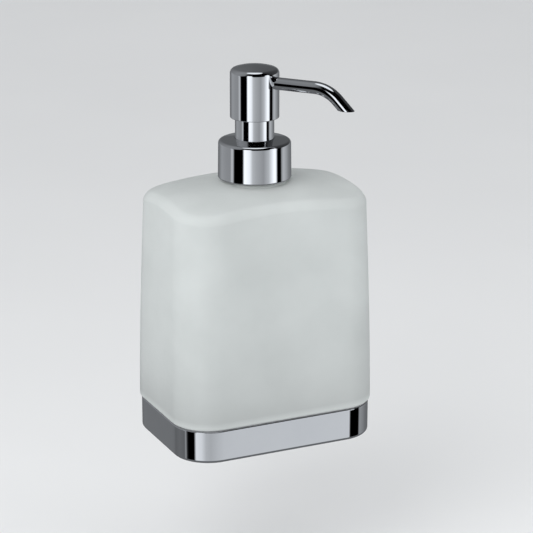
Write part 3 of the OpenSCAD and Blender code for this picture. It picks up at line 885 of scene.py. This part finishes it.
def stem():
    """The hollow stem, with two ports above its foot."""
    s = place["stem"]
    tube = lathe("stem_tube", rounded([
        (STEM_BORE_R, s.bottom, 0.1), (s.r, s.bottom, 0.2), (s.r, s.top, 0.3), (STEM_BORE_R, s.top, 0.2)],
        steps=3), segments=64)
    return cut(tube, cross_bar("port_tool", 0.8, 12, PORT_Z))


def head_core():
    """The plastic core of the head, which joins the stem's bore to the spout."""
    c = place["head_core"]
    boss_r, disc_z = 6.2, place["head_shell"].top - 10.4
    socket_r, socket_z = STEM_R + SLIDE, place["stem"].top + 0.02
    core = lathe("head_core_block", rounded([
        (0, c.top), (c.r, c.top, 0.3), (c.r, disc_z, 0.3), (boss_r, disc_z, 0.4), (boss_r, c.bottom, 0.3),
        (socket_r, c.bottom, 0.3), (socket_r, socket_z), (STEM_BORE_R, socket_z), (STEM_BORE_R, SPOUT_Z),
        (0, SPOUT_Z)], steps=4, loop=False), loop=False, segments=96)
    return cut(core, spout_bar("core_spout_tool", SPOUT_R + SLIDE, 0))


def inlet_ball():
    """The steel ball that lets liquid in from the dip tube and not back."""
    b = place["inlet_ball"]
    middle = (b.top + b.bottom) / 2
    angles = [math.radians(a) for a in range(-84, 90, 6)]
    arc = [(b.r * math.cos(a), middle + b.r * math.sin(a)) for a in angles]
    return lathe("inlet_ball_polished", [(0, b.bottom)] + arc + [(0, b.top)], loop=False, segments=48)


stand_in(collar_thread_insert, neck_gasket, pump_housing, pump_cap, dip_tube, piston, stem_foot, stem,
         head_core, inlet_ball)

spring = stands_for(return_spring(), "return_spring")
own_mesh(spring)

# --------------------------------------------- wall mount

SCREW_SPACING = 24
BOLT_PITCH, GRUB_PITCH = 0.8, 0.7
GRUB_OUT = 4.5
COVER_WALL, COVER_GAP, DIMPLE_DEPTH = 2, 0.1, 2.4


def plan_solid(name, w, d, r, profile):
    """A round-cornered solid, from a profile of (inset, z) whose ends are closed over."""
    rings = [plan_ring(w - 2 * x, d - 2 * x, max(r - x, 0.5), z) for x, z in profile]
    return skin(name, [[(0, 0, profile[0][1])]] + rings + [[(0, 0, profile[-1][1])]])


def wall_cover():
    """The bright square cover over the wall plate, with its bolt hole and the grub screw's hole below."""
    c = place["wall_cover"]
    back, front = reach("wall_cover")
    corner_r, flat, inside = 11, 8, front - COVER_WALL
    cover = plan_solid("wall_cover_case", c.w, c.w, corner_r, rounded([
        (flat, front), (0, front, 1.2), (0, back, 0.3), (COVER_WALL, back, 0.3), (COVER_WALL, inside, 0.8),
        (flat, inside)], steps=6, loop=False))
    cover = cut(cover, bar("cover_bolt_tool", BOLT_HOLE_R, 0, front + 1))
    return cut(from_wall(cover), grub_bar("cover_grub_tool", 2, -1, COVER_WALL + 1))


def grub_bar(name, r, low, high):
    """A bar straight up through the underside of the cover."""
    return shifted(bar(name, r, low, high), 0, WALL_Y - GRUB_OUT, place["wall_cover"].bottom)


def wall_plate():
    """The cast plate: pockets for the nut and the screws' heads, and a dimple for the grub screw."""
    p = place["wall_plate"]
    depth, web = reach("wall_plate")[1], 3
    corner_r, flat = 8.9, 8
    nut_pocket_r, head_pocket_r, screw_hole_r = 6.5, 4.6, 2.3
    plate = plan_solid("wall_plate_casting", p.w, p.w, corner_r, rounded([
        (flat, depth), (0, depth, 0.8), (0, 0, 0.3), (flat, 0)], steps=5, loop=False))

    def pocket(r):
        mouth = depth + 0.2
        profile = [(0, web), (r - 0.4, web), (r, web + 0.4), (r, mouth - 0.5), (r + 0.5, mouth), (0, mouth)]
        return lathe("pocket_tool", profile, loop=False, segments=64)

    plate = cut(plate, pocket(nut_pocket_r))
    for y in (-SCREW_SPACING / 2, SCREW_SPACING / 2):
        plate = cut(plate, shifted(pocket(head_pocket_r), 0, y))
        plate = cut(plate, shifted(bar("screw_hole_tool", screw_hole_r, -1, web + 1), 0, y))
    dimple = grub_bar("plate_dimple_tool", 2.1, 0, COVER_WALL + COVER_GAP + DIMPLE_DEPTH)
    return cut(from_wall(plate), dimple)


def wall_screw(side):
    """One pan-head wall screw: a cross recess, a slim neck in the plate, a coarse thread and a sharp tip."""
    head_z, head_r, head_h = 3.02, 4, 2.6
    tip_z, taper_z, pitch = -25, -20, 1.8
    shank_r, root_r, neck_r = 2.1, 1.5, 1.55

    def coarse(angle, r, z):
        if r > root_r + SMALL or z > -0.4:
            return r
        phase = (z / pitch - angle / (2 * math.pi)) % 1
        ridge = smooth_step(0.5 - abs(phase - 0.5), 0.28, 0.48)
        fade = 1 - smooth_step(z, -1.6, -0.4)
        return r * (1 + (shank_r / root_r - 1) * ridge * fade)

    taper = [(root_r * k / 12, tip_z + (taper_z - tip_z) * k / 12) for k in range(1, 12)]
    profile = [(0, tip_z)] + taper + ladder(root_r, taper_z, 0, 0.15) + [(neck_r, 0.2)]
    profile += rounded([
        (neck_r, head_z), (head_r, head_z, 0.3), (head_r, head_z + head_h, 1.4), (0, head_z + head_h)],
        loop=False)
    screw = lathe("wall_screw", profile, loop=False, segments=48, shape=coarse)
    top = head_z + head_h
    for half_w, half_d in ((2.2, 0.55), (0.55, 2.2)):
        low, high = (-half_w, -half_d, top - 1.6), (half_w, half_d, top + 0.5)
        screw = cut(screw, box_between("recess_tool", low, high, low_share=0.75))
    return shifted(screw, 0, side * SCREW_SPACING / 2)


def wall_screws():
    """The two screws that hold the plate to the wall."""
    return from_wall(joined("wall_screw_pair", wall_screw(-1), wall_screw(1)))


def cover_grub_screw():
    """The small set screw that locks the cover to the plate from below."""
    g = place["cover_grub_screw"]
    root_r = g.r - 0.3
    fine = thread(root_r, g.r, GRUB_PITCH, 0.2, g.h - 0.2)
    profile = [(0, 0), (root_r - 0.3, 0)] + ladder(root_r, 0.2, g.h - 0.3, 0.1)
    profile += [(root_r - 0.3, g.h), (0, g.h)]
    screw = lathe("cover_grub_thread", profile, loop=False, segments=48, shape=fine)
    screw = cut(screw, bar("grub_hex_tool", 1.15, -1, 1.6, sides=6))
    return shifted(screw, 0, WALL_Y - GRUB_OUT, g.bottom)


def holder_arm():
    """The bright block between the cover and the ring, bored for the bolt."""
    a = place["holder_arm"]
    back, front = reach("holder_arm")
    corner_r, flat = 4, 3
    arm = plan_solid("holder_arm_block", a.w, a.h, corner_r, rounded([
        (flat, front), (0, front, 0.2), (0, back, 0.2), (flat, back)], steps=3, loop=False))
    return from_wall(cut(arm, bar("arm_bolt_tool", BOLT_HOLE_R, back - 1, front + 1)))


def holder_bolt():
    """The countersunk bolt from inside the ring, through the arm, into the nut behind the cover."""
    b = place["holder_bolt"]
    tail, head = reach("holder_bolt")
    root_r, crest_r, thread_end = 2.15, 2.5, tail + 14
    fine = thread(root_r, crest_r, BOLT_PITCH, tail + 0.3, thread_end)
    profile = [(0, tail), (root_r - 0.4, tail)] + ladder(root_r, tail + 0.4, thread_end, 0.1)
    profile += [(crest_r, thread_end + 0.4), (crest_r, head - 2.1), (b.r, head - 0.15), (b.r - 0.1, head),
                (0, head)]
    bolt = lathe("holder_bolt_m5", profile, loop=False, segments=48, shape=fine)
    return from_wall(cut(bolt, bar("bolt_hex_tool", 1.7, head - 1.6, head + 1, sides=6)))


def holder_nut():
    """A hexagon nut with chamfered corners, whose thread runs between the ridges of the bolt's."""
    low, high = reach("holder_nut")
    low, high = low + 0.02, high - 0.02
    outer_r, bore_r, chamfer = 4.62, 2.58, 0.35

    def hexagon(angle, r, z):
        if r < outer_r - 1:
            return spiral(angle, r, z)
        across = outer_r * math.cos(math.pi / 6) / math.cos((angle % (math.pi / 3)) - math.pi / 6)
        return min(r, across)

    spiral = thread(bore_r, 2.22, BOLT_PITCH, low, high, start=0.5)
    flat_r = outer_r - 2 * chamfer
    profile = [(flat_r, low), (outer_r, low + chamfer), (outer_r, high - chamfer), (flat_r, high)]
    profile += [(bore_r + 0.2, high)] + ladder(bore_r, high - 0.1, low + 0.1, 0.1) + [(bore_r + 0.2, low)]
    return from_wall(lathe("holder_nut_m5", profile, segments=96, shape=hexagon))


stand_in(wall_cover, wall_plate, wall_screws, cover_grub_screw, holder_arm, holder_bolt, holder_nut)

# ------------------------------------------------- studio

CAMERA_AZIMUTH = math.radians(24.95)
CAMERA_ELEVATION = math.radians(17.15)
CAMERA_DISTANCE = 0.905
CAMERA_LENS = 141.8
CAMERA_SHIFT = (0.0223, -0.0263)
CAMERA_TARGET = AXIS + Vector((0, 0, 80.27 * MM))

# Tones of the studio by angle from the camera, positive to its right: grey walls behind, a black card and a
# white panel to the left, a grey gap, a white panel and a black card to the right. Each row is (angle, tone),
# and the upper rows end with the height, as a sine, that the wall reaches there. The pump mirrors the upper
# tones and the ring the lower ones.
UPPER_STUDIO = [
    (-180, 0.17, 0.10), (-150, 0.16, 0.10), (-125, 0.31, 0.10), (-100, 0.27, 0.10), (-82, 0.26, 0.10),
    (-76, 0.52, 0.10), (-71, 0.4, 0.10), (-67, 0.0, 0.10), (-37, 0.0, 0.42), (-32, 1.12, 0.42),
    (-15, 0.92, 0.42), (-6, 0.48, 0.10), (5, 0.39, 0.10), (28, 0.30, 0.10), (45, 0.48, 0.10),
    (54, 0.78, 0.42), (64, 1.12, 0.42), (70, 1.05, 0.42), (76, 0.0, 0.10), (90, 0.0, 0.10), (95, 0.32, 0.10),
    (103, 0.46, 0.10), (115, 0.36, 0.10), (132, 0.22, 0.10), (150, 0.16, 0.10), (180, 0.17, 0.10),
]
LOWER_STUDIO = [
    (-180, 0.14), (-150, 0.15), (-135, 0.17), (-120, 0.12), (-100, 0.14), (-78, 0.12), (-73, 0.3),
    (-69, 0.05), (-64, 0.0), (-43, 0.0), (-37, 0.76), (-20, 0.68), (-6, 0.46), (8, 0.42), (30, 0.49),
    (46, 0.53), (58, 0.60), (61, 0.0), (94, 0.0), (98, 0.27), (112, 0.24), (135, 0.15), (180, 0.14),
]
HIGH_STUDIO = [
    (-180, 0.10), (-140, 0.19), (-100, 0.24), (-52, 0.20), (-38, 0.0), (72, 0.0), (95, 0.03), (140, 0.05),
    (180, 0.10),
]
TINT = (1.0, 1.045, 1.10)
CEILING, CEILING_EDGE = 0.9, (0.93, 0.95)
GROUND, GROUND_EDGE = 0.13, (-34, -25)
LOWER_EDGE, WALL_EDGE = (-19, -17), (-0.02, 0.06)
BACKDROP = (0.80, 0.81, 0.82)
LAMP_DISTANCE = 0.7


def direction(azimuth, elevation):
    """A unit vector away from the bottle. Azimuth 0 is straight out in front, and it grows to the right."""
    return Vector((
        math.sin(azimuth) * math.cos(elevation), -math.cos(azimuth) * math.cos(elevation),
        math.sin(elevation)))


def add_camera():
    """The camera, to the left of the bottle and above it, with a long lens."""
    back = direction(-CAMERA_AZIMUTH, CAMERA_ELEVATION)
    camera = add_object("camera", bpy.data.cameras.new("camera"))
    camera.data.lens = CAMERA_LENS
    camera.data.shift_x, camera.data.shift_y = CAMERA_SHIFT
    camera.data.clip_start = 0.01
    camera.location = CAMERA_TARGET + back * CAMERA_DISTANCE
    camera.rotation_euler = back.to_track_quat("Z", "Y").to_euler()
    bpy.context.scene.camera = camera


def add_world():
    """A soft studio all around: its tones by direction for reflections, brighter for plain light, and a pale
    backdrop where the camera looks past the object."""
    world = bpy.data.worlds.new("studio")
    bpy.context.scene.world = world
    world.use_nodes = True
    tree = world.node_tree
    tree.nodes.clear()

    def math_node(operation, *values):
        node = tree.nodes.new("ShaderNodeMath")
        node.operation = operation
        for socket, value in zip(node.inputs, values):
            if isinstance(value, (int, float)):
                socket.default_value = value
            else:
                tree.links.new(value, socket)
        return node.outputs["Value"]

    coordinates = tree.nodes.new("ShaderNodeTexCoord")
    turn = tree.nodes.new("ShaderNodeVectorRotate")
    turn.rotation_type = "Z_AXIS"
    turn.inputs["Angle"].default_value = CAMERA_AZIMUTH
    tree.links.new(coordinates.outputs["Generated"], turn.inputs["Vector"])
    split = tree.nodes.new("ShaderNodeSeparateXYZ")
    tree.links.new(turn.outputs["Vector"], split.inputs["Vector"])
    x, y, z = (split.outputs[k] for k in "XYZ")
    angle = math_node("ARCTAN2", x, math_node("MULTIPLY", y, -1))
    share = math_node("ADD", math_node("DIVIDE", angle, 2 * math.pi), 0.5)

    def above(low, high):
        """0 below an elevation of low degrees and 1 above high."""
        low, high = math.sin(math.radians(low)), math.sin(math.radians(high))
        return map_range(tree, z, low, high, smooth=True)

    def mixed(factor, a, b):
        node = tree.nodes.new("ShaderNodeMix")
        node.data_type = "RGBA"
        tree.links.new(factor, node.inputs["Factor"])
        for value, socket in ((a, node.inputs["A"]), (b, node.inputs["B"])):
            if isinstance(value, tuple):
                socket.default_value = value
            else:
                tree.links.new(value, socket)
        return node.outputs["Result"]

    def tones_around(table):
        ramp = ramp_through(tree, share, [
            (degrees / 360 + 0.5, (*(tone * c for c in TINT), *(height or [0])))
            for degrees, tone, *height in table])
        return ramp.outputs["Color"], ramp.outputs["Alpha"]

    upper, height = tones_around(UPPER_STUDIO)
    lower, _ = tones_around(LOWER_STUDIO)
    walls = mixed(above(*LOWER_EDGE), lower, upper)

    # Above the walls the studio is black in front and dim behind, with one bright ceiling panel overhead, and
    # the ground right below is dark.
    high, _ = tones_around(HIGH_STUDIO)
    ceiling, ground = ((*(tone * c for c in TINT), 1) for tone in (CEILING, GROUND))
    over = mixed(map_range(tree, z, *CEILING_EDGE, smooth=True), high, ceiling)
    rise = map_range(tree, math_node("SUBTRACT", z, height), *WALL_EDGE, smooth=True)
    studio = mixed(above(*GROUND_EDGE), ground, mixed(rise, walls, over))

    path = tree.nodes.new("ShaderNodeLightPath")
    sharp = tree.nodes.new("ShaderNodeBackground")
    tree.links.new(studio, sharp.inputs["Color"])
    pale = tree.nodes.new("ShaderNodeBackground")
    pale.inputs["Color"].default_value = (*BACKDROP, 1)
    seen = tree.nodes.new("ShaderNodeMixShader")
    plain = math_node("SUBTRACT", 1, path.outputs["Is Glossy Ray"])
    tree.links.new(plain, seen.inputs["Fac"])
    tree.links.new(sharp.outputs["Background"], seen.inputs[1])
    tree.links.new(pale.outputs["Background"], seen.inputs[2])
    out = tree.nodes.new("ShaderNodeOutputWorld")
    tree.links.new(seen.outputs["Shader"], out.inputs["Surface"])


def add_floor():
    """A plain pale floor below the object, kept out of the metal's reflections."""
    size, drop = 6, 0.05
    z = cad_bounds[0][2] - drop
    mesh = bpy.data.meshes.new("floor")
    corners = [(-size, -size, z), (size, -size, z), (size, size, z), (-size, size, z)]
    mesh.from_pydata(corners, [], [(0, 1, 2, 3)])
    floor = add_object("floor", mesh)
    material = node_material(
        "floor_paper", {}, [(0.78, 0.785, 0.79), (0.80, 0.805, 0.81)], 3, (0.85, 0.95), 20, 0.02, 200)
    mesh.materials.append(material)
    floor.visible_glossy = False


def add_light(name, azimuth, elevation, size, power):
    """A soft lamp that the metal doesn't mirror, at a direction from the bottle."""
    away = direction(math.radians(azimuth), math.radians(elevation))
    light = add_object(name, bpy.data.lights.new(name, "AREA"))
    light.data.shape = "RECTANGLE"
    light.data.size, light.data.size_y = size
    light.data.energy = power
    light.location = CAMERA_TARGET + away * LAMP_DISTANCE
    light.rotation_euler = away.to_track_quat("Z", "Y").to_euler()
    light.visible_glossy = False
    light.visible_camera = False


add_camera()
add_world()
add_floor()
add_light("key_lamp", -60, 35, (0.5, 0.5), 2.5)
add_light("fill_lamp", 60, 20, (0.4, 0.6), 1)
bpy.context.scene.view_settings.view_transform = "Standard"
